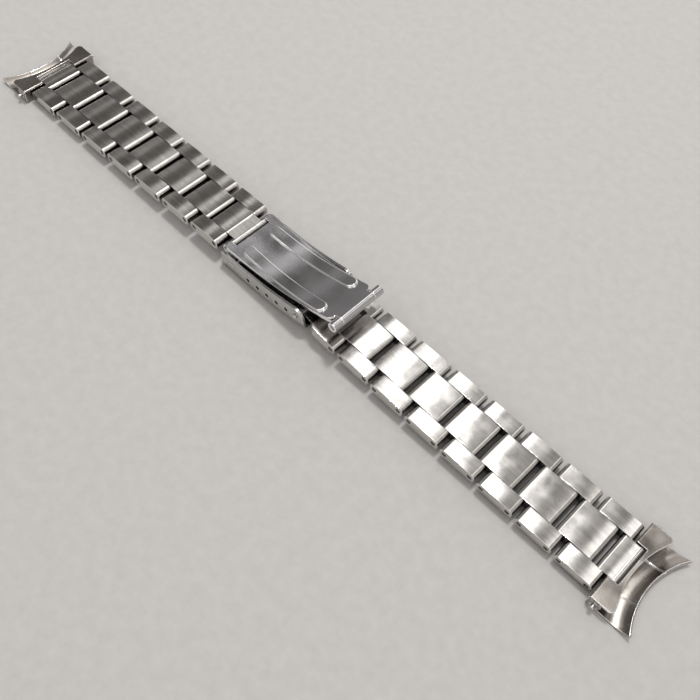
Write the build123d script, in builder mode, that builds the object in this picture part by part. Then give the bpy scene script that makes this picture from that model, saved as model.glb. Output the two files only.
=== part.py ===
from build123d import *
import os
from math import asin, atan, cos, degrees, radians, sin

os.makedirs("parts", exist_ok=True)

# Driving dimensions, millimetres and degrees
lug_width = 20.0
strand_end_width = 16.6
strand_clasp_width = 14.6
centre_row_share = 0.52
link_pitch = 9.5
link_thickness = 2.7
link_pairs = 7

# Links
link_gap = 0.8
row_gap = 0.1
link_crown = 0.15
link_end_radius = 0.9
pin_split = 3.04
pin_radius = 0.55
pin_recess = 0.2
seat_clearance = 0.02
running_clearance = 0.05
overrun = 1.0

# Heights of the pivots above the surface that the bracelet lies on
knuckle_height = 4.65
end_piece_pin_height = 3.4
end_shell_depth = 1.9

# Spring bars
bar_radius = 0.9
bar_tip_radius = 0.45
bar_tip_length = 1.1
bar_shoulder_setback = 0.1
tube_radius = 1.35
tongue_thickness = 2.4

# Clasp cover
cover_curve_radius = 80.0
cover_height = 4.7
cover_sheet = 0.6
cover_side_overhang = 0.3
cover_length = 25.8
cover_far_lip = 0.4
cover_low_point = 3.4
cover_corner_radius = 2.4
cover_edge_radius = 1.1
adjust_holes = 6
adjust_pitch = 2.94
adjust_hole_radius = 0.53
adjust_hole_height = 2.5
adjust_end_distance = 2.2

# Clasp blades
blade_sheet = 0.7
blade_side_clearance = 0.2
blade_taper = 0.9
blade_straight = 8.0
blade_far_lip = 0.1
notch_reach = 1.6
blade_curve_radius = 55.5
blade_sweep = 25.4
blade_stack_gap = 0.15
blade_top_offset = 1.05
lower_blade_inset = 1.2
hinge_tube_radius = 1.1
hinge_relief = 0.25
hinge_pin_radius = 0.6
hinge_inset = 0.05
hinge_total_width = 13.8
hinge_middle_width = 9.0
blade_near_corner = 1.5
blade_far_corner = 0.8
cover_hinge_inset = 3.0
cover_hinge_height = 2.4
knuckle_tube_width = 9.3
knuckle_tube_radius = 1.15
rib_width = 2.8
rib_height = 0.45
rib_round = 0.25
rib_length = 24.5
rib_start = 3.2
rib_side_offset = 3.8
rib_flare = 0.3
lug_length = 1.6

# End piece of the cover side
end_piece_run = 10.05
end_piece_body_start = 3.1
end_piece_slot = 2.7
end_piece_corner_radius = 2.0
end_piece_plate = 0.9
end_piece_tube_width = 12.4
end_piece_tube_radius = 1.15

# End links
end_clearance = 0.1
end_shell_wall = 0.5
end_top_height = 1.6
end_back = 1.5
end_reach = 5.5
case_radius = 18.5
flange_setback = 3.9
end_rim_reach = 3.6
end_rim_height = 1.3
row_groove_width = 0.3
row_groove_depth = 0.15
horn_corner_radius = 0.9
end_bottom_radius = 0.9
end_top_radius = 0.4
notch_side_gap = 0.25
notch_depth = 0.95

# Sizes that follow from the ones above
side_span = link_pitch - pin_split
end_margin = (pin_split - link_gap) / 2
link_length = link_pitch - link_gap
tail_reach = link_length - end_margin
half_thickness = link_thickness / 2
chain_run = link_pairs * link_pitch + pin_split
bar_height = end_shell_depth
far_slope = asin((knuckle_height - bar_height) / chain_run)
near_slope = asin((end_piece_pin_height - bar_height) / chain_run)
end_width = lug_width - 2 * end_clearance
cover_width = strand_clasp_width + 2 * cover_side_overhang
cover_inner_width = cover_width - 2 * cover_sheet
tip_half_width = end_width / 2
case_centre = end_reach + case_radius
horn_reach = case_centre - (case_radius ** 2 - tip_half_width ** 2) ** 0.5

# Places along the bracelet, measured first from the knuckle pin
hole_radius_line = cover_curve_radius - adjust_hole_height
near_end_angle = asin((cover_length - cover_far_lip - cover_low_point) / cover_curve_radius)
far_end_angle = asin((-cover_far_lip - cover_low_point) / cover_curve_radius)
bar_angle = near_end_angle - adjust_end_distance / hole_radius_line
clasp_bar_offset = cover_low_point + hole_radius_line * sin(bar_angle)
clasp_bar_height = cover_curve_radius - hole_radius_line * cos(bar_angle)
end_piece_drop = asin((clasp_bar_height - end_piece_pin_height) / end_piece_run)
end_piece_pin_offset = clasp_bar_offset + end_piece_run * cos(end_piece_drop)
far_reach = chain_run * cos(far_slope) + horn_reach
near_reach = end_piece_pin_offset + chain_run * cos(near_slope) + horn_reach

# The origin is under the middle of the whole bracelet, on the surface it lies on
knuckle_x = (far_reach - near_reach) / 2
knuckle_point = (knuckle_x, knuckle_height)
clasp_bar_point = (knuckle_x + clasp_bar_offset, clasp_bar_height)
end_piece_pin_point = (knuckle_x + end_piece_pin_offset, end_piece_pin_height)
cover_hinge_point = (knuckle_x - cover_far_lip + cover_hinge_inset, cover_hinge_height)
blade_height = knuckle_height + blade_top_offset
bend_x = knuckle_x + blade_straight
bend_centre_height = blade_height + blade_curve_radius
middle_radius = blade_curve_radius + hinge_tube_radius - blade_sheet / 2
middle_hinge_point = (
    bend_x + middle_radius * sin(radians(blade_sweep)),
    bend_centre_height - middle_radius * cos(radians(blade_sweep)),
)


def side_plane(point, direction, across=0.0):
    """Plane seen from the side: local x along direction in XZ, local y upwards."""
    length = (direction[0] ** 2 + direction[1] ** 2) ** 0.5
    facing = -1 if direction[0] > 0 else 1
    return Plane(
        origin=(point[0], across, point[1]),
        x_dir=(direction[0] / length, 0, direction[1] / length),
        z_dir=(0, facing, 0),
    )


def along(point, direction, distance):
    """Point at a distance along a unit direction in XZ."""
    return (point[0] + direction[0] * distance, point[1] + direction[1] * distance)


def finish(builder, name):
    """Label a finished piece and write it out."""
    builder.part.label = name
    export_step(builder.part, f"parts/{name}.step")


def strand_width(index):
    """Full width of the strand at a pair of side links, counted from the clasp."""
    share = index / (link_pairs - 1)
    return strand_clasp_width + (strand_end_width - strand_clasp_width) * share


def centre_width(index):
    """Width of a centre link, counted from the clasp."""
    return centre_row_share * strand_width(index)


def link_outline(start, end, thickness):
    """Side view of a link: slightly crowned faces and rounded ends."""
    half = thickness / 2
    shoulder = half - link_crown
    middle = (start + end) / 2
    with BuildLine() as edge_line:
        ThreePointArc((start, shoulder), (middle, half), (end, shoulder))
        Line((end, shoulder), (end, -shoulder))
        ThreePointArc((end, -shoulder), (middle, -half), (start, -shoulder))
        Line((start, -shoulder), (start, shoulder))
    make_face(edge_line.edges())


def centre_link(name, pin, direction, index):
    """Centre link with a pin near its clasp end and another near its middle."""
    with BuildPart() as link:
        with BuildSketch(side_plane(pin, direction)) as outline:
            link_outline(-end_margin, tail_reach, link_thickness)
            fillet(outline.vertices(), link_end_radius)
            with Locations((0, 0), (pin_split, 0)):
                Circle(pin_radius + running_clearance, mode=Mode.SUBTRACT)
        extrude(amount=centre_width(index) / 2, both=True)
    finish(link, name)


def side_links(name, pin, direction, index):
    """Left and right side links of one pitch."""
    inner = centre_width(index + 1) / 2 + row_gap
    outer = strand_width(index) / 2
    middle = (inner + outer) / 2
    planes = [side_plane(pin, direction, side * middle) for side in (-1, 1)]
    with BuildPart() as links:
        with BuildSketch(*planes) as outline:
            link_outline(-end_margin, side_span + end_margin, link_thickness)
            fillet(outline.vertices(), link_end_radius)
            with Locations((0, 0), (side_span, 0)):
                Circle(pin_radius + seat_clearance, mode=Mode.SUBTRACT)
        extrude(amount=(outer - inner) / 2, both=True)
    finish(links, name)


def cross_pins(name, pin, direction, stations, radius, half_length):
    """Plain pins across the strand."""
    with BuildPart() as pins:
        with BuildSketch(side_plane(pin, direction)):
            with Locations(*[(station, 0) for station in stations]):
                Circle(radius)
        extrude(amount=half_length, both=True)
    finish(pins, name)


def spring_bar(name, point, shoulder):
    """Spring bar: a barrel with a thinner tip at each end."""
    with BuildPart() as bar:
        with BuildSketch(side_plane(point, (1, 0))):
            Circle(bar_radius)
        extrude(amount=shoulder, both=True)
        with BuildSketch(side_plane(point, (1, 0))):
            Circle(bar_tip_radius)
        extrude(amount=shoulder + bar_tip_length, both=True)
    finish(bar, name)


def tongue(name, pin, direction):
    """Short centre piece that hangs on the end link's spring bar."""
    half = tongue_thickness / 2
    with BuildPart() as piece:
        with BuildSketch(side_plane(pin, direction)) as outline:
            link_outline(-end_margin, pin_split, tongue_thickness)
            fillet(outline.vertices().group_by(Axis.X)[0], link_end_radius)
            with Locations((pin_split, 0)):
                Circle(half)
            Circle(pin_radius + running_clearance, mode=Mode.SUBTRACT)
            with Locations((pin_split, 0)):
                Circle(bar_radius + running_clearance, mode=Mode.SUBTRACT)
        extrude(amount=centre_width(link_pairs) / 2, both=True)
    finish(piece, name)


def rim_band(bar, side, lower, upper, places, half_width):
    """Front of an end link's lower sheet between two depths, rising to the rim along the case."""
    turn = 2 * atan(end_rim_height / end_rim_reach)
    bend = end_rim_reach / sin(turn)
    root = case_radius + end_rim_reach
    floor_height = bar[1] - end_shell_depth
    axis_x = bar[0] + side * case_centre
    under = bend - lower
    over = bend - upper
    with BuildPart() as band:
        with BuildSketch(Plane(origin=(axis_x, 0, floor_height), x_dir=(-side, 0, 0), z_dir=(0, side, 0))):
            with BuildLine():
                Line((root + end_shell_wall, lower), (root, lower))
                ThreePointArc(
                    (root, lower),
                    (root - under * sin(turn / 2), bend - under * cos(turn / 2)),
                    (root - under * sin(turn), bend - under * cos(turn)),
                )
                Line(
                    (root - under * sin(turn), bend - under * cos(turn)),
                    (root - over * sin(turn), bend - over * cos(turn)),
                )
                ThreePointArc(
                    (root - over * sin(turn), bend - over * cos(turn)),
                    (root - over * sin(turn / 2), bend - over * cos(turn / 2)),
                    (root, upper),
                )
                Line((root, upper), (root + end_shell_wall, upper))
                Line((root + end_shell_wall, upper), (root + end_shell_wall, lower))
            make_face()
        revolve(axis=Axis((axis_x, 0, 0), (0, 0, 1)))
        with BuildSketch(*[side_plane(bar, (side, 0), place) for place in places]):
            Rectangle(
                horn_reach + overrun,
                end_top_height + 2 * end_shell_depth,
                align=(Align.MIN, Align.CENTER),
            )
        extrude(amount=half_width, both=True, mode=Mode.INTERSECT)
    return band.part


def end_link(name, bar, side):
    """Hollow stamped end link, open towards the watch case."""
    plane = side_plane(bar, (side, 0))
    far_edge = horn_reach + overrun
    height = end_top_height + end_shell_depth
    tongue_half = centre_width(link_pairs) / 2
    tube_inner = tongue_half + notch_side_gap
    tube_outer = end_width / 2
    tube_middle = (tube_inner + tube_outer) / 2
    rim = rim_band(bar, side, 0, end_shell_wall, (0,), end_width / 2)
    groove_floor = end_shell_wall - row_groove_depth
    groove_top = end_shell_wall + row_groove_depth
    groove_places = (-tongue_half, tongue_half)
    grooves = rim_band(bar, side, groove_floor, groove_top, groove_places, row_groove_width / 2)
    with BuildPart() as shell:
        with BuildSketch(plane) as section:
            with BuildLine():
                Polyline(
                    (far_edge, end_top_height),
                    (-end_back, end_top_height),
                    (-end_back, -end_shell_depth),
                    (far_edge, -end_shell_depth),
                    (far_edge, -end_shell_depth + end_shell_wall),
                    (-end_back + end_shell_wall, -end_shell_depth + end_shell_wall),
                    (-end_back + end_shell_wall, end_top_height - end_shell_wall),
                    (far_edge, end_top_height - end_shell_wall),
                    close=True,
                )
            make_face()
            back = section.vertices().group_by(Axis.X)[0]
            fillet(back.sort_by(Axis.Y)[0], end_bottom_radius)
            back = section.vertices().group_by(Axis.X)[0]
            fillet(back.sort_by(Axis.Y)[-1], end_top_radius)
        extrude(amount=end_width / 2, both=True)
        with BuildSketch(plane):
            with Locations((-end_back - overrun, end_shell_wall - end_shell_depth)):
                Rectangle(
                    end_back + notch_depth + overrun,
                    height - end_shell_wall + overrun,
                    align=(Align.MIN, Align.MIN),
                )
        extrude(amount=tube_inner, both=True, mode=Mode.SUBTRACT)
        with BuildSketch(*[side_plane(bar, (side, 0), place * tube_middle) for place in (-1, 1)]):
            Circle(tube_radius)
        extrude(amount=(tube_outer - tube_inner) / 2, both=True)
        with BuildSketch(plane):
            Circle(bar_radius + running_clearance)
        extrude(amount=end_width, both=True, mode=Mode.SUBTRACT)
        with BuildSketch(Plane.XY.offset(bar[1] - end_shell_depth - overrun)):
            with Locations((bar[0] + side * case_centre, 0)):
                Circle(case_radius)
        extrude(amount=height + 2 * overrun, mode=Mode.SUBTRACT)
        with BuildSketch(Plane.XY.offset(bar[1] + end_top_height - end_shell_wall)):
            with Locations((bar[0] + side * case_centre, 0)):
                Circle(case_radius + flange_setback)
        extrude(amount=end_shell_wall + overrun, mode=Mode.SUBTRACT)
        upright = shell.edges().filter_by(Axis.Z)
        flange_height = bar[1] + end_top_height - end_shell_wall
        top_upright = [edge for edge in upright if edge.center().Z > flange_height]
        horns = sorted(top_upright, key=lambda edge: side * edge.center().X)[-2:]
        fillet(horns, horn_corner_radius)
        with BuildSketch(Plane.XY.offset(bar[1] - end_shell_depth - overrun)):
            with Locations((bar[0] + side * case_centre, 0)):
                Circle(case_radius + end_rim_reach)
        extrude(amount=overrun + end_shell_wall, mode=Mode.SUBTRACT)
        add(rim)
        add(grooves, mode=Mode.SUBTRACT)
    finish(shell, name)


def strand(letter, first_pin, slope, side, first_index):
    """Centre links, side links, pins, tongue, spring bar and end link of one strand."""
    direction = (side * cos(slope), -sin(slope))
    for index in range(first_index, link_pairs):
        pin = along(first_pin, direction, index * link_pitch)
        centre_link(f"centre_link_{letter}{index + 1}", pin, direction, index)
    for index in range(link_pairs):
        pin = along(first_pin, direction, index * link_pitch + pin_split)
        side_links(f"side_links_{letter}{index + 1}", pin, direction, index)
        half_length = strand_width(index) / 2 - pin_recess
        cross_pins(f"link_pins_{letter}{index + 1}", pin, direction, (0, side_span), pin_radius, half_length)
    last_pin = along(first_pin, direction, link_pairs * link_pitch)
    bar = along(first_pin, direction, chain_run)
    tongue(f"tongue_{letter}", last_pin, direction)
    spring_bar(f"spring_bar_{letter}", bar, end_width / 2 - bar_shoulder_setback)
    end_link(f"end_link_{letter}", bar, side)


def cover_point(radius, angle):
    """Point of the curved cover, from its centre of curvature."""
    centre_x = knuckle_x + cover_low_point
    return (centre_x + radius * sin(angle), cover_curve_radius - radius * cos(angle))


def cover_band(outer, inner, start, end):
    """Curved band between two radii of the cover."""
    middle = (start + end) / 2
    with BuildLine() as edge_line:
        ThreePointArc(cover_point(outer, start), cover_point(outer, middle), cover_point(outer, end))
        Line(cover_point(outer, end), cover_point(inner, end))
        ThreePointArc(cover_point(inner, end), cover_point(inner, middle), cover_point(inner, start))
        Line(cover_point(inner, start), cover_point(outer, start))
    make_face(edge_line.edges())


def clasp_cover():
    """Curved channel with six adjustment holes in each wall."""
    top = cover_curve_radius - cover_height
    inner = cover_curve_radius - cover_sheet
    spare = overrun / cover_curve_radius
    with BuildPart() as cover:
        with BuildSketch(Plane.XZ) as side_view:
            cover_band(cover_curve_radius, top, far_end_angle, near_end_angle)
            corner = cover_point(top, near_end_angle)
            near_corner = side_view.vertices().sort_by_distance((corner[0], corner[1], 0))[0]
            fillet(near_corner, cover_corner_radius)
        extrude(amount=cover_width / 2, both=True)
        bottom = cover.faces().sort_by(Axis.Z)[0]
        long_edges = bottom.edges().filter_by(GeomType.CIRCLE)
        fillet(long_edges, cover_edge_radius)
        with BuildSketch(Plane.XZ):
            cover_band(inner, top - overrun, far_end_angle - spare, near_end_angle + spare)
        extrude(amount=cover_inner_width / 2, both=True, mode=Mode.SUBTRACT)
        step = adjust_pitch / hole_radius_line
        places = [cover_point(hole_radius_line, bar_angle - hole * step) for hole in range(adjust_holes)]
        with BuildSketch(Plane.XZ):
            with Locations(*places):
                Circle(adjust_hole_radius)
        extrude(amount=cover_width, both=True, mode=Mode.SUBTRACT)
        with BuildSketch(Plane.XZ):
            with Locations(cover_hinge_point):
                Circle(hinge_pin_radius + seat_clearance)
        extrude(amount=cover_width, both=True, mode=Mode.SUBTRACT)
    finish(cover, "clasp_cover")


def blade_point(radius, angle):
    """Point of the curved part of the blades, angle in degrees from the bend's start."""
    turn = radians(angle)
    return (bend_x + radius * sin(turn), bend_centre_height - radius * cos(turn))


def upper_blade_band(under, over, start_x):
    """Side view of a strip that follows the upper blade between two heights from its middle."""
    low = blade_curve_radius + under
    high = blade_curve_radius - over
    with BuildLine() as edge_line:
        Line((start_x, bend_centre_height - low), blade_point(low, 0))
        ThreePointArc(blade_point(low, 0), blade_point(low, blade_sweep / 2), blade_point(low, blade_sweep))
        Line(blade_point(low, blade_sweep), blade_point(high, blade_sweep))
        ThreePointArc(
            blade_point(high, blade_sweep),
            blade_point(high, blade_sweep / 2),
            blade_point(high, 0),
        )
        Line(blade_point(high, 0), (start_x, bend_centre_height - high))
        Line((start_x, bend_centre_height - high), (start_x, bend_centre_height - low))
    make_face(edge_line.edges())


upper_far_half = cover_inner_width / 2 - blade_side_clearance
upper_near_half = upper_far_half - blade_taper
lower_half = upper_far_half - lower_blade_inset
blade_reach = middle_hinge_point[0] + overrun
plan_depth = middle_hinge_point[1] + cover_height


def rib_pair():
    """Two long embossed ribs on top of the upper blade."""
    half = blade_sheet / 2
    start = knuckle_x + rib_start
    end = start + rib_length
    turn = degrees(asin(2 * rib_flare / rib_length))
    with BuildPart() as ribs:
        with BuildSketch(Plane.XZ):
            upper_blade_band(half, half + rib_height, start)
        extrude(amount=upper_far_half, both=True)
        with BuildSketch(Plane.XY):
            for side in (-1, 1):
                with Locations(((start + end) / 2, side * (rib_side_offset + rib_flare))):
                    SlotOverall(rib_length, rib_width, rotation=side * turn)
        extrude(amount=plan_depth, mode=Mode.INTERSECT)
        crest = [edge for edge in ribs.edges() if edge.center().Z > crest_height(edge.center().X)]
        fillet(crest, rib_round)
    return ribs.part


def crest_height(x):
    """Height just below the top of the ribs."""
    radius = blade_curve_radius - blade_sheet / 2 - rib_height + rib_round
    if x < bend_x:
        return bend_centre_height - radius
    return bend_centre_height - (radius ** 2 - (x - bend_x) ** 2) ** 0.5


def upper_blade():
    """Arched blade with two ribs, lugs for the knuckle pin and two hinge tubes."""
    half = blade_sheet / 2
    start = knuckle_x - blade_far_lip
    notch_half = knuckle_tube_width / 2 + row_gap
    middle_half = hinge_middle_width / 2
    corner_x = middle_hinge_point[0] - hinge_tube_radius - hinge_relief
    ribs = rib_pair()
    with BuildPart() as blade:
        with BuildSketch(Plane.XZ):
            upper_blade_band(half, half, start)
        extrude(amount=cover_width, both=True)
        with BuildSketch(Plane.XY) as plan:
            with BuildLine():
                Polyline(
                    (start, -upper_far_half),
                    (corner_x, -upper_near_half),
                    (corner_x, upper_near_half),
                    (start, upper_far_half),
                    close=True,
                )
            make_face()
            fillet(plan.vertices().group_by(Axis.X)[-1], blade_near_corner)
            fillet(plan.vertices().group_by(Axis.X)[0], blade_far_corner)
            with Locations((corner_x - overrun, 0)):
                Rectangle(blade_reach - corner_x, 2 * middle_half, align=(Align.MIN, Align.CENTER))
            with Locations((knuckle_x + notch_reach, 0)):
                Rectangle(
                    notch_reach + overrun,
                    2 * notch_half,
                    align=(Align.MAX, Align.CENTER),
                    mode=Mode.SUBTRACT,
                )
        extrude(amount=plan_depth, mode=Mode.INTERSECT)
        with BuildSketch(Plane.XZ):
            with Locations(middle_hinge_point):
                Circle(hinge_tube_radius)
        extrude(amount=middle_half, both=True)
        with BuildSketch(*[Plane.XZ.offset(side * (notch_half + lug_length / 2)) for side in (-1, 1)]):
            with Locations(knuckle_point):
                Circle(hinge_tube_radius)
        extrude(amount=lug_length / 2, both=True)
        add(ribs)
        with BuildSketch(Plane.XZ):
            with Locations(knuckle_point):
                Circle(hinge_pin_radius + seat_clearance)
            with Locations(middle_hinge_point):
                Circle(hinge_pin_radius + running_clearance)
        extrude(amount=cover_width, both=True, mode=Mode.SUBTRACT)
    finish(blade, "upper_blade")


def lower_blade():
    """Blade folded under the upper one, hinged in the cover."""
    offset = blade_sheet + blade_stack_gap
    half = blade_sheet / 2
    low = blade_curve_radius + offset + half
    high = low - blade_sheet
    hinge_x = cover_hinge_point[0]
    foot_top = cover_hinge_height + hinge_tube_radius
    tube_half = cover_inner_width / 2 - blade_side_clearance
    outer_half = hinge_total_width / 2
    inner_half = hinge_middle_width / 2 + hinge_inset
    with BuildPart() as blade:
        with BuildSketch(Plane.XZ):
            with BuildLine():
                Line((hinge_x, foot_top - blade_sheet), blade_point(low, 0))
                ThreePointArc(
                    blade_point(low, 0),
                    blade_point(low, blade_sweep / 2),
                    blade_point(low, blade_sweep),
                )
                Line(blade_point(low, blade_sweep), blade_point(high, blade_sweep))
                ThreePointArc(
                    blade_point(high, blade_sweep),
                    blade_point(high, blade_sweep / 2),
                    blade_point(high, 0),
                )
                Line(blade_point(high, 0), (hinge_x, foot_top))
                Line((hinge_x, foot_top), (hinge_x, foot_top - blade_sheet))
            make_face()
        extrude(amount=lower_half, both=True)
        with BuildSketch(Plane.XZ):
            with Locations(middle_hinge_point):
                Circle(hinge_tube_radius + hinge_relief)
        extrude(amount=inner_half, both=True, mode=Mode.SUBTRACT)
        with BuildSketch(*[Plane.XZ.offset(side * (outer_half + inner_half) / 2) for side in (-1, 1)]):
            with Locations(middle_hinge_point):
                Circle(hinge_tube_radius)
        extrude(amount=(outer_half - inner_half) / 2, both=True)
        with BuildSketch(Plane.XZ):
            with Locations(cover_hinge_point):
                Circle(hinge_tube_radius)
        extrude(amount=tube_half, both=True)
        with BuildSketch(Plane.XZ):
            with Locations(cover_hinge_point):
                Circle(hinge_pin_radius + running_clearance)
            with Locations(middle_hinge_point):
                Circle(hinge_pin_radius + seat_clearance)
        extrude(amount=cover_width, both=True, mode=Mode.SUBTRACT)
    finish(blade, "lower_blade")


def knuckle_link():
    """Last centre link of the blade side, rolled into a wide knuckle at its clasp end."""
    direction = (-cos(far_slope), -sin(far_slope))
    plane = side_plane(knuckle_point, direction)
    start = pin_split - end_margin
    shoulder = half_thickness - link_crown
    with BuildPart() as link:
        with BuildSketch(plane) as outline:
            link_outline(start, tail_reach, link_thickness)
            fillet(outline.vertices().group_by(Axis.X)[0], link_end_radius)
            with BuildLine():
                Polyline(
                    (0, knuckle_tube_radius),
                    (pin_split, shoulder),
                    (pin_split, -shoulder),
                    (0, -knuckle_tube_radius),
                    close=True,
                )
            make_face()
        extrude(amount=centre_width(0) / 2, both=True)
        with BuildSketch(plane):
            Circle(knuckle_tube_radius)
        extrude(amount=knuckle_tube_width / 2, both=True)
        with BuildSketch(plane):
            Circle(hinge_pin_radius + running_clearance)
            with Locations((pin_split, 0)):
                Circle(pin_radius + running_clearance)
        extrude(amount=cover_width, both=True, mode=Mode.SUBTRACT)
    finish(link, "knuckle_link")


def end_piece():
    """Piece that joins the cover's spring bar to the first link of its strand."""
    direction = (cos(end_piece_drop), -sin(end_piece_drop))
    plane = side_plane(clasp_bar_point, direction)
    body_end = end_piece_run + end_margin
    slot_half = centre_width(0) / 2 + row_gap
    plan = Plane(
        origin=(clasp_bar_point[0], 0, clasp_bar_point[1]),
        x_dir=(direction[0], 0, direction[1]),
        z_dir=(sin(end_piece_drop), 0, cos(end_piece_drop)),
    )
    with BuildPart() as piece:
        with BuildSketch(plane) as outline:
            link_outline(end_piece_body_start, body_end, link_thickness)
            fillet(outline.vertices(), link_end_radius)
        extrude(amount=strand_width(0) / 2, both=True)
        with BuildSketch(plan) as shape:
            with Locations((end_piece_body_start, 0)):
                Rectangle(
                    body_end - end_piece_body_start,
                    strand_width(0),
                    align=(Align.MIN, Align.CENTER),
                )
            fillet(shape.vertices().sort_by_distance(plan.origin)[0:2], end_piece_corner_radius)
            with Locations((end_piece_run - end_piece_slot, 0)):
                Rectangle(
                    end_piece_slot + end_margin,
                    2 * slot_half,
                    align=(Align.MIN, Align.CENTER),
                    mode=Mode.SUBTRACT,
                )
        extrude(amount=link_thickness, both=True, mode=Mode.INTERSECT)
        with BuildSketch(plane):
            Circle(end_piece_tube_radius)
            with Locations((0, 0)):
                Rectangle(
                    end_piece_body_start + end_piece_corner_radius,
                    end_piece_plate,
                    align=(Align.MIN, Align.CENTER),
                )
        extrude(amount=end_piece_tube_width / 2, both=True)
        with BuildSketch(plane):
            Circle(bar_radius + running_clearance)
            with Locations((end_piece_run, 0)):
                Circle(pin_radius + seat_clearance)
        extrude(amount=cover_width, both=True, mode=Mode.SUBTRACT)
    finish(piece, "end_piece")


# Clasp
clasp_cover()
lower_blade()
upper_blade()
hinge_half_length = cover_width / 2
cross_pins("cover_hinge_pin", cover_hinge_point, (1, 0), (0,), hinge_pin_radius, hinge_half_length)
middle_half_length = hinge_total_width / 2 - pin_recess
cross_pins("middle_hinge_pin", middle_hinge_point, (1, 0), (0,), hinge_pin_radius, middle_half_length)

# Blade side strand
knuckle_link()
knuckle_pin_half = knuckle_tube_width / 2 + row_gap + lug_length - pin_recess
cross_pins("knuckle_pin", knuckle_point, (1, 0), (0,), hinge_pin_radius, knuckle_pin_half)
strand("a", knuckle_point, far_slope, -1, 1)

# Cover side strand
end_piece()
spring_bar("clasp_spring_bar", clasp_bar_point, cover_inner_width / 2 - bar_shoulder_setback)
end_pin_half = strand_width(0) / 2 - pin_recess
cross_pins("end_piece_pin", end_piece_pin_point, (1, 0), (0,), pin_radius, end_pin_half)
strand("b", end_piece_pin_point, near_slope, 1, 0)
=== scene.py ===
from math import pi

import bpy
from bpy.props import FloatProperty, FloatVectorProperty, PointerProperty
from bpy.types import Operator, Panel, PropertyGroup
from mathutils import Matrix, Vector


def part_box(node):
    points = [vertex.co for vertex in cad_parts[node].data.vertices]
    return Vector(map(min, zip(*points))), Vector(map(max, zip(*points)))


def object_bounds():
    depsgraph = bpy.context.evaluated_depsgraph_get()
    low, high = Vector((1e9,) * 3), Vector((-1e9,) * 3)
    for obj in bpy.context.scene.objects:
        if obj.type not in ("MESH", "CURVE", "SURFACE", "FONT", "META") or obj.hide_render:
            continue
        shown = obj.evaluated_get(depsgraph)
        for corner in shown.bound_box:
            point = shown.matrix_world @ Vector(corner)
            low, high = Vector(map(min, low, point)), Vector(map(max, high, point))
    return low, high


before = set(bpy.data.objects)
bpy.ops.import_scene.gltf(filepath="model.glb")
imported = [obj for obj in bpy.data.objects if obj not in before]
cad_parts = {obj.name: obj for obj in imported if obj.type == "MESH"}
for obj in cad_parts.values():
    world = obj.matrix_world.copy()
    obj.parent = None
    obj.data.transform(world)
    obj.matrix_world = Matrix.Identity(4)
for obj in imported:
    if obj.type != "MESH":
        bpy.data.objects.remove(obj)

bl_info = {
    "name": "Link Watch Bracelet Dresser",
    "version": (1, 0, 0),
    "blender": (4, 5, 0),
    "location": "View3D > Sidebar > Bracelet",
    "description": "Finishes the parts of a steel link bracelet and sets up its stage",
    "category": "Object",
}

CAD_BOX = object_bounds()
SHARED_TAB = "Bracelet"

# Features per metre along each axis, then detail and roughness, of each even noise
WEAR_NOISE = ((220.0, 220.0, 220.0), 5.0, 0.6)
WAVE_NOISE = ((75.0, 60.0, 60.0), 1.0)
HAZE_NOISE = ((150.0, 150.0, 150.0), 4.0)
DENT_NOISE = ((420.0, 420.0, 420.0), 2.0)
MOTTLE_NOISE = ((420.0, 420.0, 420.0), 5.0, 0.6)

# Brushed lines, the broader bands among them, and the hairlines of polished sheet
LINE_DETAIL = (4.0, 0.6)
BAND_LENGTH_IN_LINES = 2
BAND_WIDTH_IN_LINES = 6
BAND_DETAIL = 2.0
HAIRLINES_PER_METRE = 60.0
HAIRLINE_WIDTH_IN_LINES = 3
HAIRLINE_DETAIL = 3.0
BRUSH_ANISOTROPY = 0.5

# Lowest and highest share of a colour or a roughness that a finish reaches
BRUSHED_TINT = (0.86, 1.06)
POLISHED_TINT = (0.9, 1.05)
FLOOR_TINT = (0.95, 1.05)
BRUSHED_SPREAD = (0.8, 1.3)
POLISHED_SPREAD = (0.7, 1.5)
FLOOR_ROUGHNESS = 0.8

# Where the noises and each mask start and end
NOISE_RANGE = (0.3, 0.7)
# painted highlight along edges
EDGE_HIGHLIGHT_RANGE = (0.86, 0.99)
# painted shade in the narrow gaps between parts
PAINTED_GAP_SHADE = (0.35, 0.85)
# painted highlight on faces that lean to the bracelet's sides
FLANK_HIGHLIGHT_LEAN = (0.04, 0.2)

EDGE_SAMPLES = 6
GAP_SAMPLES = 8

SENSOR_WIDTH = 36.0
NEAREST_SEEN = 0.005
FARTHEST_SEEN = 20.0


def color_setting(name, description, default):
    """Property that holds a colour."""
    return FloatVectorProperty(
        name=name,
        description=description,
        default=default,
        subtype="COLOR",
        size=3,
        min=0.0,
        max=1.0,
    )


def roughness_setting(name, description, default):
    """Property that holds a roughness."""
    return FloatProperty(
        name=name,
        description=description,
        default=default,
        subtype="FACTOR",
        min=0.0,
        max=1.0,
    )


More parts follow.
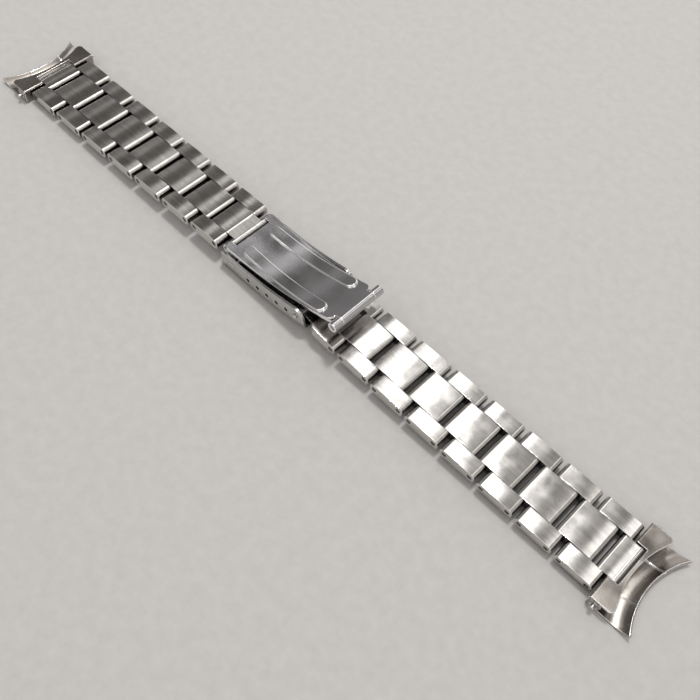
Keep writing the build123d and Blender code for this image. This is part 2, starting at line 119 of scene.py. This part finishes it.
class SteelSettings(PropertyGroup):
    """Colours and grain of the bracelet's steels"""

    link_color: color_setting("Link Steel", "Colour of the brushed links", (0.64, 0.617, 0.588))
    link_roughness: roughness_setting("Link Roughness", "Roughness of the brushed links", 0.17)
    end_piece_roughness: roughness_setting("End Piece Roughness", "Roughness of the end piece", 0.16)
    blade_roughness: roughness_setting("Blade Roughness", "Roughness of the clasp blades", 0.17)
    cover_roughness: roughness_setting("Cover Roughness", "Roughness of the clasp cover", 0.24)
    end_link_roughness: roughness_setting("End Link Roughness", "Roughness of the end links", 0.22)
    pin_roughness: roughness_setting("Pin Roughness", "Roughness of the pins and spring bars", 0.25)
    grain_width: FloatProperty(
        name="Grain Width",
        description="Spacing of the brushed lines across the bracelet",
        default=0.00012,
        unit="LENGTH",
        precision=5,
    )
    grain_length: FloatProperty(
        name="Grain Length",
        description="Length of the brushed lines along the bracelet",
        default=0.006,
        unit="LENGTH",
        precision=4,
    )
    wave_depth: FloatProperty(
        name="Wave Depth",
        description="Depth of the slow unevenness of the faces",
        default=0.00003,
        unit="LENGTH",
        precision=6,
    )
    grain_depth: FloatProperty(
        name="Grain Depth",
        description="Depth of the brushed lines",
        default=0.0000015,
        unit="LENGTH",
        precision=7,
    )
    dome_depth: FloatProperty(
        name="Dome Depth",
        description="Height of the slight dome on top of each link",
        default=0.00016,
        unit="LENGTH",
        precision=5,
    )
    clasp_color: color_setting("Blade Steel", "Colour of the polished clasp blades", (0.6, 0.588, 0.597))
    cover_color: color_setting("Cover Steel", "Colour of the clasp cover", (0.55, 0.54, 0.525))
    end_color: color_setting("End Link Steel", "Colour of the stamped end links", (0.35, 0.32, 0.29))
    pin_color: color_setting("Pin Steel", "Colour of the pins and spring bars", (0.5, 0.49, 0.475))
    # Bright colour painted as a highlight on edges and on the leaning side faces of ribs
    edge_highlight_color: color_setting("Painted Edge Highlight", "Colour of the bare polished edges", (0.95, 0.945, 0.94))
    # Dark colour painted as shade in the gaps between the links
    gap_shade_color: color_setting(
        "Painted Gap Shade", "Colour of the grime in the gaps between the links", (0.035, 0.032, 0.03)
    )
    # Width of the gaps that get the painted shade
    gap_shade_reach: FloatProperty(
        name="Grime Reach",
        description="Width of the gaps that hold grime",
        default=0.003,
        unit="LENGTH",
        precision=4,
    )
    edge_radius: FloatProperty(
        name="Edge Radius",
        description="Radius of the broken edges of every part",
        default=0.00012,
        unit="LENGTH",
        precision=5,
    )


class StageSettings(PropertyGroup):
    """Floor, lamps and camera"""

    floor_color: color_setting("Floor", "Colour of the plain floor", (0.5, 0.486, 0.472))
    floor_size: FloatProperty(
        name="Floor Size",
        description="Width of the floor",
        default=6.0,
        unit="LENGTH",
    )
    box_length: FloatProperty(
        name="Soft Box Length",
        description="Length of the soft boxes away from the bracelet",
        default=0.5,
        unit="LENGTH",
    )
    box_level: FloatProperty(
        name="Soft Box Level",
        description="Brightness of the soft boxes, in watts per square metre of box",
        default=3.6,
    )
    lamp_place: FloatVectorProperty(
        name="Shadow Lamp Place",
        description="Where the lamp that draws the shadows hangs",
        default=(-0.06, 0.19, 0.93),
        subtype="XYZ",
        unit="LENGTH",
        size=3,
    )
    lamp_size: FloatProperty(
        name="Shadow Lamp Size",
        description="Width of the lamp that draws the shadows",
        default=0.15,
        unit="LENGTH",
    )
    lamp_power: FloatProperty(
        name="Shadow Lamp Power",
        description="Power of the lamp that draws the shadows",
        default=3.6,
        unit="POWER",
    )
    camera_place: FloatVectorProperty(
        name="Camera Place",
        description="Where the camera stands",
        default=(0.081373, -0.082664, 0.162792),
        subtype="XYZ",
        unit="LENGTH",
        size=3,
        precision=5,
    )
    camera_aim: FloatVectorProperty(
        name="Camera Aim",
        description="Direction in which the camera looks",
        default=(-0.330813, 0.415611, -0.847249),
        subtype="DIRECTION",
        size=3,
        precision=5,
    )
    camera_right: FloatVectorProperty(
        name="Camera Right",
        description="Direction of the picture's right side",
        default=(0.710865, 0.700232, 0.065932),
        subtype="DIRECTION",
        size=3,
        precision=5,
    )
    camera_lens: FloatProperty(
        name="Camera Lens",
        description="Focal length in millimetres on a 36 mm sensor",
        default=47.665,
    )


def steel_settings():
    """Settings of the steels in the current scene."""
    return bpy.context.scene.bracelet_steel


def stage_settings():
    """Settings of the stage in the current scene."""
    return bpy.context.scene.bracelet_stage


def nodes_starting(*starts):
    """CAD objects whose names start with one of the words."""
    return [obj for name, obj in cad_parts.items() if name.startswith(starts)]


def give_finish(objects, material):
    """Put one material on every slot of the objects."""
    if not objects:
        raise RuntimeError(f"no parts for {material.name}")
    for obj in objects:
        obj.data.materials.clear()
        obj.data.materials.append(material)


class Finish:
    """Small helper that builds a material's nodes in order."""

    def __init__(self, name):
        self.material = bpy.data.materials.new(name)
        self.material.use_nodes = True
        self.tree = self.material.node_tree
        self.shader = self.tree.nodes["Principled BSDF"]
        self.coordinates = self.tree.nodes.new("ShaderNodeTexCoord")

    def node(self, kind, **values):
        """Add a node and set its plain attributes."""
        node = self.tree.nodes.new(kind)
        for key, value in values.items():
            setattr(node, key, value)
        return node

    def link(self, source, target):
        """Join an output socket to an input socket."""
        self.tree.links.new(source, target)

    def noise(self, stretch, detail, roughness=0.5):
        """Noise over the part, with one value of stretch per axis in lines per metre."""
        mapping = self.node("ShaderNodeMapping")
        mapping.inputs["Scale"].default_value = stretch
        texture = self.node("ShaderNodeTexNoise", noise_dimensions="3D")
        texture.inputs["Scale"].default_value = 1.0
        texture.inputs["Detail"].default_value = detail
        texture.inputs["Roughness"].default_value = roughness
        self.link(self.coordinates.outputs["Object"], mapping.inputs["Vector"])
        self.link(mapping.outputs["Vector"], texture.inputs["Vector"])
        return texture.outputs["Fac"]

    def domes(self, link, next_link):
        """Height of a row of links, each slightly domed between its two ends."""
        middles = [(low[0] + high[0]) / 2 for low, high in (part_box(link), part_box(next_link))]
        turn = pi / (middles[1] - middles[0])
        parts = self.node("ShaderNodeSeparateXYZ")
        self.link(self.coordinates.outputs["Object"], parts.inputs["Vector"])
        value = parts.outputs["X"]
        for operation in ("ABSOLUTE", "MULTIPLY_ADD", "COSINE", "ABSOLUTE"):
            step = self.node("ShaderNodeMath", operation=operation)
            self.link(value, step.inputs[0])
            if operation == "MULTIPLY_ADD":
                step.inputs[1].default_value = turn
                step.inputs[2].default_value = -middles[0] * turn
            value = step.outputs["Value"]
        return value

    def between(self, factor, low, high, low_at=NOISE_RANGE[0], high_at=NOISE_RANGE[1]):
        """Value that goes from low to high as the factor rises."""
        limits = self.node("ShaderNodeMapRange")
        limits.inputs["From Min"].default_value = low_at
        limits.inputs["From Max"].default_value = high_at
        limits.inputs["To Min"].default_value = low
        limits.inputs["To Max"].default_value = high
        self.link(factor, limits.inputs["Value"])
        return limits.outputs["Result"]

    def tint(self, factor, color, darker, brighter):
        """Colour that varies between a darker and a brighter share of one colour."""
        ramp = self.node("ShaderNodeValToRGB")
        ramp.color_ramp.elements[0].position = NOISE_RANGE[0]
        ramp.color_ramp.elements[1].position = NOISE_RANGE[1]
        ramp.color_ramp.elements[0].color = [channel * darker for channel in color] + [1.0]
        ramp.color_ramp.elements[1].color = [min(channel * brighter, 1.0) for channel in color] + [1.0]
        self.link(factor, ramp.inputs["Fac"])
        return ramp.outputs["Color"]

    def blend(self, mask, color, other):
        """Colour that turns to the other one where the mask is 1."""
        blend = self.node("ShaderNodeMix", data_type="RGBA")
        self.link(mask, blend.inputs["Factor"])
        first, second = (socket for socket in blend.inputs if socket.type == "RGBA")
        self.link(color, first)
        second.default_value = [*other, 1.0]
        return next(socket for socket in blend.outputs if socket.type == "RGBA")

    def edge_highlighted(self, color, edge_highlight_color, edge_radius):
        """Colour with a painted highlight: it turns to a bright colour along edges, where the rounded
        normal leaves the face's own normal.
        """
        edges = self.node("ShaderNodeBevel", samples=EDGE_SAMPLES)
        edges.inputs["Radius"].default_value = edge_radius
        shape = self.node("ShaderNodeNewGeometry")
        agreement = self.node("ShaderNodeVectorMath", operation="DOT_PRODUCT")
        self.link(edges.outputs["Normal"], agreement.inputs[0])
        self.link(shape.outputs["Normal"], agreement.inputs[1])
        mask = self.between(agreement.outputs["Value"], 1.0, 0.0, *EDGE_HIGHLIGHT_RANGE)
        return self.blend(mask, color, edge_highlight_color)

    def gap_shaded(self, color, gap_shade_color, reach):
        """Colour with painted shade: it turns to a dark colour in the narrow gaps between parts, where
        ambient occlusion finds little open space.
        """
        gaps = self.node("ShaderNodeAmbientOcclusion", samples=GAP_SAMPLES)
        gaps.inputs["Distance"].default_value = reach
        mask = self.between(gaps.outputs["AO"], 1.0, 0.0, *PAINTED_GAP_SHADE)
        return self.blend(mask, color, gap_shade_color)

    def flank_highlights(self, color, edge_highlight_color):
        """Colour with a painted highlight: it turns to the bright edge colour on faces that lean to the
        bracelet's sides.
        """
        parts = self.node("ShaderNodeSeparateXYZ")
        self.link(self.coordinates.outputs["Normal"], parts.inputs["Vector"])
        lean = self.node("ShaderNodeMath", operation="ABSOLUTE")
        self.link(parts.outputs["Y"], lean.inputs[0])
        mask = self.between(lean.outputs["Value"], 0.0, 1.0, *FLANK_HIGHLIGHT_LEAN)
        return self.blend(mask, color, edge_highlight_color)

    def surface(self, heights, edge_radius):
        """Bump the surface by a list of (height, depth), over edges rounded by the radius."""
        edges = self.node("ShaderNodeBevel", samples=EDGE_SAMPLES)
        edges.inputs["Radius"].default_value = edge_radius
        normal = edges.outputs["Normal"]
        for height, depth in heights:
            bump = self.node("ShaderNodeBump")
            bump.inputs["Strength"].default_value = 1.0
            bump.inputs["Distance"].default_value = depth
            self.link(height, bump.inputs["Height"])
            self.link(normal, bump.inputs["Normal"])
            normal = bump.outputs["Normal"]
        self.link(normal, self.shader.inputs["Normal"])


def brushed_steel(name, color, roughness, grain_depth, domed=None):
    """Steel brushed along the bracelet, with fine lines and faint wear, a painted highlight along its
    edges and painted shade in its gaps; domed names two links of a row.
    """
    steel = steel_settings()
    across = 1.0 / steel.grain_width
    along = 1.0 / steel.grain_length
    finish = Finish(name)
    band_across = across / BAND_WIDTH_IN_LINES
    lines = finish.noise((along, across, across), *LINE_DETAIL)
    bands = finish.noise((along / BAND_LENGTH_IN_LINES, band_across, band_across), BAND_DETAIL)
    wear = finish.noise(*WEAR_NOISE)
    waves = finish.noise(*WAVE_NOISE)
    finish.shader.inputs["Metallic"].default_value = 1.0
    # Painted highlight: a bright colour along every edge.
    tone = finish.edge_highlighted(finish.tint(bands, color, *BRUSHED_TINT), steel.edge_highlight_color, steel.edge_radius * 2)
    # Painted shade: a dark colour in the gaps between the links.
    tone = finish.gap_shaded(tone, steel.gap_shade_color, steel.gap_shade_reach)
    finish.link(tone, finish.shader.inputs["Base Color"])
    spread = finish.between(wear, *(roughness * share for share in BRUSHED_SPREAD))
    finish.link(spread, finish.shader.inputs["Roughness"])
    finish.shader.inputs["Anisotropic"].default_value = BRUSH_ANISOTROPY
    tangent = finish.node("ShaderNodeTangent", direction_type="RADIAL", axis="X")
    finish.link(tangent.outputs["Tangent"], finish.shader.inputs["Tangent"])
    heights = [(lines, grain_depth), (waves, steel.wave_depth)]
    if domed:
        heights.append((finish.domes(*domed), steel.dome_depth))
    finish.surface(heights, steel.edge_radius)
    return finish.material


def polished_steel(name, color, roughness, highlighted_flanks=False):
    """Polished sheet with hairlines, small dents and a faint haze, and a painted highlight along its
    edges; where asked, faces that lean to the sides get a painted highlight that shows its ribs.
    """
    steel = steel_settings()
    across = 1.0 / (steel.grain_width * HAIRLINE_WIDTH_IN_LINES)
    finish = Finish(name)
    hairlines = finish.noise((HAIRLINES_PER_METRE, across, across), HAIRLINE_DETAIL)
    haze = finish.noise(*HAZE_NOISE)
    dents = finish.noise(*DENT_NOISE)
    finish.shader.inputs["Metallic"].default_value = 1.0
    # Painted highlight: a bright colour along every edge.
    tone = finish.edge_highlighted(finish.tint(haze, color, *POLISHED_TINT), steel.edge_highlight_color, steel.edge_radius * 3)
    if highlighted_flanks:
        # Painted highlight on the faces that lean to the bracelet's sides.
        tone = finish.flank_highlights(tone, steel.edge_highlight_color)
    finish.link(tone, finish.shader.inputs["Base Color"])
    spread = finish.between(haze, *(roughness * share for share in POLISHED_SPREAD))
    finish.link(spread, finish.shader.inputs["Roughness"])
    heights = [(hairlines, steel.grain_depth / 4), (dents, steel.grain_depth * 6)]
    finish.surface(heights, steel.edge_radius * 2)
    return finish.material


class BRACELET_OT_finish_links(Operator):
    """Brush the centre links, side links, knuckle link and tongues"""

    bl_idname = "bracelet.finish_links"
    bl_label = "Finish Links"
    bl_options = {"REGISTER", "UNDO"}

    def execute(self, context):
        steel = steel_settings()
        values = (steel.link_color, steel.link_roughness, steel.grain_depth)
        for row in ("centre_link", "side_links"):
            domed = (f"{row}_b3", f"{row}_b4")
            give_finish(nodes_starting(row), brushed_steel(f"{row}_steel", *values, domed))
        give_finish(nodes_starting("knuckle_link", "tongue"), brushed_steel("link_steel", *values))
        return {"FINISHED"}


class BRACELET_OT_finish_clasp(Operator):
    """Polish the two blades, and brush the end piece and the cover"""

    bl_idname = "bracelet.finish_clasp"
    bl_label = "Finish Clasp"
    bl_options = {"REGISTER", "UNDO"}

    def execute(self, context):
        steel = steel_settings()
        # The blades' ribs get a painted highlight on their side-leaning faces.
        blades = polished_steel("blade_steel", steel.clasp_color, steel.blade_roughness, highlighted_flanks=True)
        end_piece = brushed_steel(
            "end_piece_steel", steel.link_color, steel.end_piece_roughness, steel.grain_depth / 2
        )
        cover = brushed_steel("cover_steel", steel.cover_color, steel.cover_roughness, steel.grain_depth)
        give_finish(nodes_starting("upper_blade", "lower_blade"), blades)
        give_finish(nodes_starting("end_piece"), end_piece)
        give_finish(nodes_starting("clasp_cover"), cover)
        return {"FINISHED"}


class BRACELET_OT_finish_end_links(Operator):
    """Finish the stamped end links"""

    bl_idname = "bracelet.finish_end_links"
    bl_label = "Finish End Links"
    bl_options = {"REGISTER", "UNDO"}

    def execute(self, context):
        steel = steel_settings()
        finish = polished_steel("end_link_steel", steel.end_color, steel.end_link_roughness)
        give_finish(nodes_starting("end_link"), finish)
        return {"FINISHED"}


class BRACELET_OT_finish_pins(Operator):
    """Finish the pins and spring bars"""

    bl_idname = "bracelet.finish_pins"
    bl_label = "Finish Pins"
    bl_options = {"REGISTER", "UNDO"}

    def execute(self, context):
        steel = steel_settings()
        pins = [obj for name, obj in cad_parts.items() if "pin" in name or "spring_bar" in name]
        give_finish(pins, polished_steel("pin_steel", steel.pin_color, steel.pin_roughness))
        return {"FINISHED"}


class BRACELET_OT_stage(Operator):
    """Lay the floor, hang the lamps and place the camera"""

    bl_idname = "bracelet.stage"
    bl_label = "Set Up Stage"
    bl_options = {"REGISTER", "UNDO"}

    def execute(self, context):
        stage = stage_settings()
        lay_floor(stage)
        hang_boxes(stage)
        hang_shadow_lamp(stage)
        light_room()
        place_camera(stage)
        context.scene.view_settings.view_transform = "Standard"
        return {"FINISHED"}


def lay_floor(stage):
    """Plain pale floor with a faint mottle."""
    half = stage.floor_size / 2
    drop = CAD_BOX[0][2]
    mesh = bpy.data.meshes.new("floor")
    corners = [(-half, -half, drop), (half, -half, drop), (half, half, drop), (-half, half, drop)]
    mesh.from_pydata(corners, [], [(0, 1, 2, 3)])
    floor = bpy.data.objects.new("floor", mesh)
    bpy.context.scene.collection.objects.link(floor)
    finish = Finish("floor_card")
    mottle = finish.noise(*MOTTLE_NOISE)
    finish.link(finish.tint(mottle, stage.floor_color, *FLOOR_TINT), finish.shader.inputs["Base Color"])
    finish.shader.inputs["Roughness"].default_value = FLOOR_ROUGHNESS
    mesh.materials.append(finish.material)


# Start and end along the bracelet, place across it, height, and share of the soft box level
SOFT_BOXES = {
    "cover_side_box": (-0.3, -0.1, 0.36, 0.7, 1.75),
    "blade_side_box": (-0.56, -0.46, 0.36, 0.7, 0.65),
    "far_box": (-0.98, -0.84, 0.36, 0.7, 0.2),
    "end_box": (0.19, 0.34, 0.36, 0.7, 1.3),
    "front_box": (-0.42, -0.1, -0.4, 0.66, 1.15),
    "back_box": (-0.6, 0.3, 0.72, 0.32, 0.7),
}


def hang_boxes(stage):
    """Soft boxes along both sides, all turned to the bracelet's line."""
    for name, (start, end, side, height, share) in SOFT_BOXES.items():
        lamp = bpy.data.lights.new(name, "AREA")
        lamp.shape = "RECTANGLE"
        lamp.size = end - start
        lamp.size_y = stage.box_length
        lamp.energy = stage.box_level * share * lamp.size * lamp.size_y
        box = bpy.data.objects.new(name, lamp)
        lean = Vector((0.0, side, height))
        box.location = lean + Vector(((start + end) / 2, 0.0, 0.0))
        box.rotation_euler = lean.to_track_quat("Z", "Y").to_euler()
        box.visible_camera = False
        bpy.context.scene.collection.objects.link(box)


def hang_shadow_lamp(stage):
    """Small lamp high above the bracelet that draws its short shadows on the floor."""
    lamp = bpy.data.lights.new("shadow_lamp", "AREA")
    lamp.shape = "DISK"
    lamp.size = stage.lamp_size
    lamp.energy = stage.lamp_power
    obj = bpy.data.objects.new("shadow_lamp", lamp)
    obj.location = stage.lamp_place
    obj.rotation_euler = Vector(stage.lamp_place).to_track_quat("Z", "Y").to_euler()
    bpy.context.scene.collection.objects.link(obj)


ROOM_STRENGTH = 0.87
BRIGHT_SIDE = Vector((0.6, -0.55, 0.55))

# How far a direction points to the bright side, and the colour of the room there
ROOM_STOPS = (
    (0.0, (0.12, 0.115, 0.108)),
    (0.06, (0.18, 0.1728, 0.1638)),
    (0.17, (0.21, 0.2016, 0.1911)),
    (0.4, (0.4, 0.384, 0.364)),
    (0.65, (0.85, 0.816, 0.7735)),
    (0.95, (1.0, 1.0, 1.0)),
)

# How steeply a direction points up, and the colour that the walls add there
WALL_STOPS = ((0.0, (0.28, 0.27, 0.28)), (0.7, (0.0, 0.0, 0.0)))


def room_ramp(tree, stops):
    """Colour ramp with the given places and colours."""
    ramp = tree.nodes.new("ShaderNodeValToRGB")
    elements = ramp.color_ramp.elements
    elements[0].position, elements[1].position = stops[0][0], stops[-1][0]
    elements[0].color, elements[1].color = [*stops[0][1], 1.0], [*stops[-1][1], 1.0]
    for place, color in stops[1:-1]:
        elements.new(place).color = [*color, 1.0]
    return ramp


def light_room():
    """Room that is bright towards the cover side's end and darker towards the blade side's."""
    world = bpy.data.worlds.new("room")
    bpy.context.scene.world = world
    world.use_nodes = True
    tree = world.node_tree
    background = tree.nodes["Background"]
    coordinates = tree.nodes.new("ShaderNodeTexCoord")
    lean = tree.nodes.new("ShaderNodeVectorMath")
    lean.operation = "DOT_PRODUCT"
    lean.inputs[1].default_value = BRIGHT_SIDE.normalized()
    ramp = room_ramp(tree, ROOM_STOPS)
    split = tree.nodes.new("ShaderNodeSeparateXYZ")
    walls = room_ramp(tree, WALL_STOPS)
    total = tree.nodes.new("ShaderNodeVectorMath")
    total.operation = "ADD"
    tree.links.new(coordinates.outputs["Generated"], lean.inputs[0])
    tree.links.new(lean.outputs["Value"], ramp.inputs["Fac"])
    tree.links.new(coordinates.outputs["Generated"], split.inputs["Vector"])
    tree.links.new(split.outputs["Z"], walls.inputs["Fac"])
    tree.links.new(ramp.outputs["Color"], total.inputs[0])
    tree.links.new(walls.outputs["Color"], total.inputs[1])
    tree.links.new(total.outputs["Vector"], background.inputs["Color"])
    background.inputs["Strength"].default_value = ROOM_STRENGTH


def place_camera(stage):
    """Camera at the photograph's viewing angle."""
    data = bpy.data.cameras.new("camera")
    data.lens = stage.camera_lens
    data.sensor_fit = "HORIZONTAL"
    data.sensor_width = SENSOR_WIDTH
    data.clip_start = NEAREST_SEEN
    data.clip_end = FARTHEST_SEEN
    camera = bpy.data.objects.new("camera", data)
    back = -Vector(stage.camera_aim).normalized()
    right = Vector(stage.camera_right)
    right = (right - back * right.dot(back)).normalized()
    up = back.cross(right)
    turn = Matrix((right, up, back)).transposed().to_4x4()
    camera.matrix_world = Matrix.Translation(Vector(stage.camera_place)) @ turn
    bpy.context.scene.collection.objects.link(camera)
    bpy.context.scene.camera = camera


class BRACELET_PT_panel(Panel):
    """Buttons and settings of the bracelet"""

    bl_idname = "BRACELET_PT_panel"
    bl_label = "Link Bracelet"
    bl_space_type = "VIEW_3D"
    bl_region_type = "UI"
    bl_category = SHARED_TAB

    def draw(self, context):
        layout = self.layout
        for operator in OPERATORS:
            layout.operator(operator.bl_idname)
        for settings in (steel_settings(), stage_settings()):
            box = layout.box()
            for name in settings.__annotations__:
                box.prop(settings, name)


OPERATORS = (
    BRACELET_OT_finish_links,
    BRACELET_OT_finish_clasp,
    BRACELET_OT_finish_end_links,
    BRACELET_OT_finish_pins,
    BRACELET_OT_stage,
)
CLASSES = (SteelSettings, StageSettings, *OPERATORS, BRACELET_PT_panel)


def register():
    """Add the classes and the settings to Blender."""
    for cls in CLASSES:
        bpy.utils.register_class(cls)
    bpy.types.Scene.bracelet_steel = PointerProperty(type=SteelSettings)
    bpy.types.Scene.bracelet_stage = PointerProperty(type=StageSettings)


def unregister():
    """Take the settings and the classes away again."""
    del bpy.types.Scene.bracelet_stage
    del bpy.types.Scene.bracelet_steel
    for cls in reversed(CLASSES):
        bpy.utils.unregister_class(cls)


def main():
    """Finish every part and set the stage."""
    register()
    bpy.ops.bracelet.finish_pins()
    bpy.ops.bracelet.finish_links()
    bpy.ops.bracelet.finish_clasp()
    bpy.ops.bracelet.finish_end_links()
    bpy.ops.bracelet.stage()


if __name__ == "__main__":
    main()
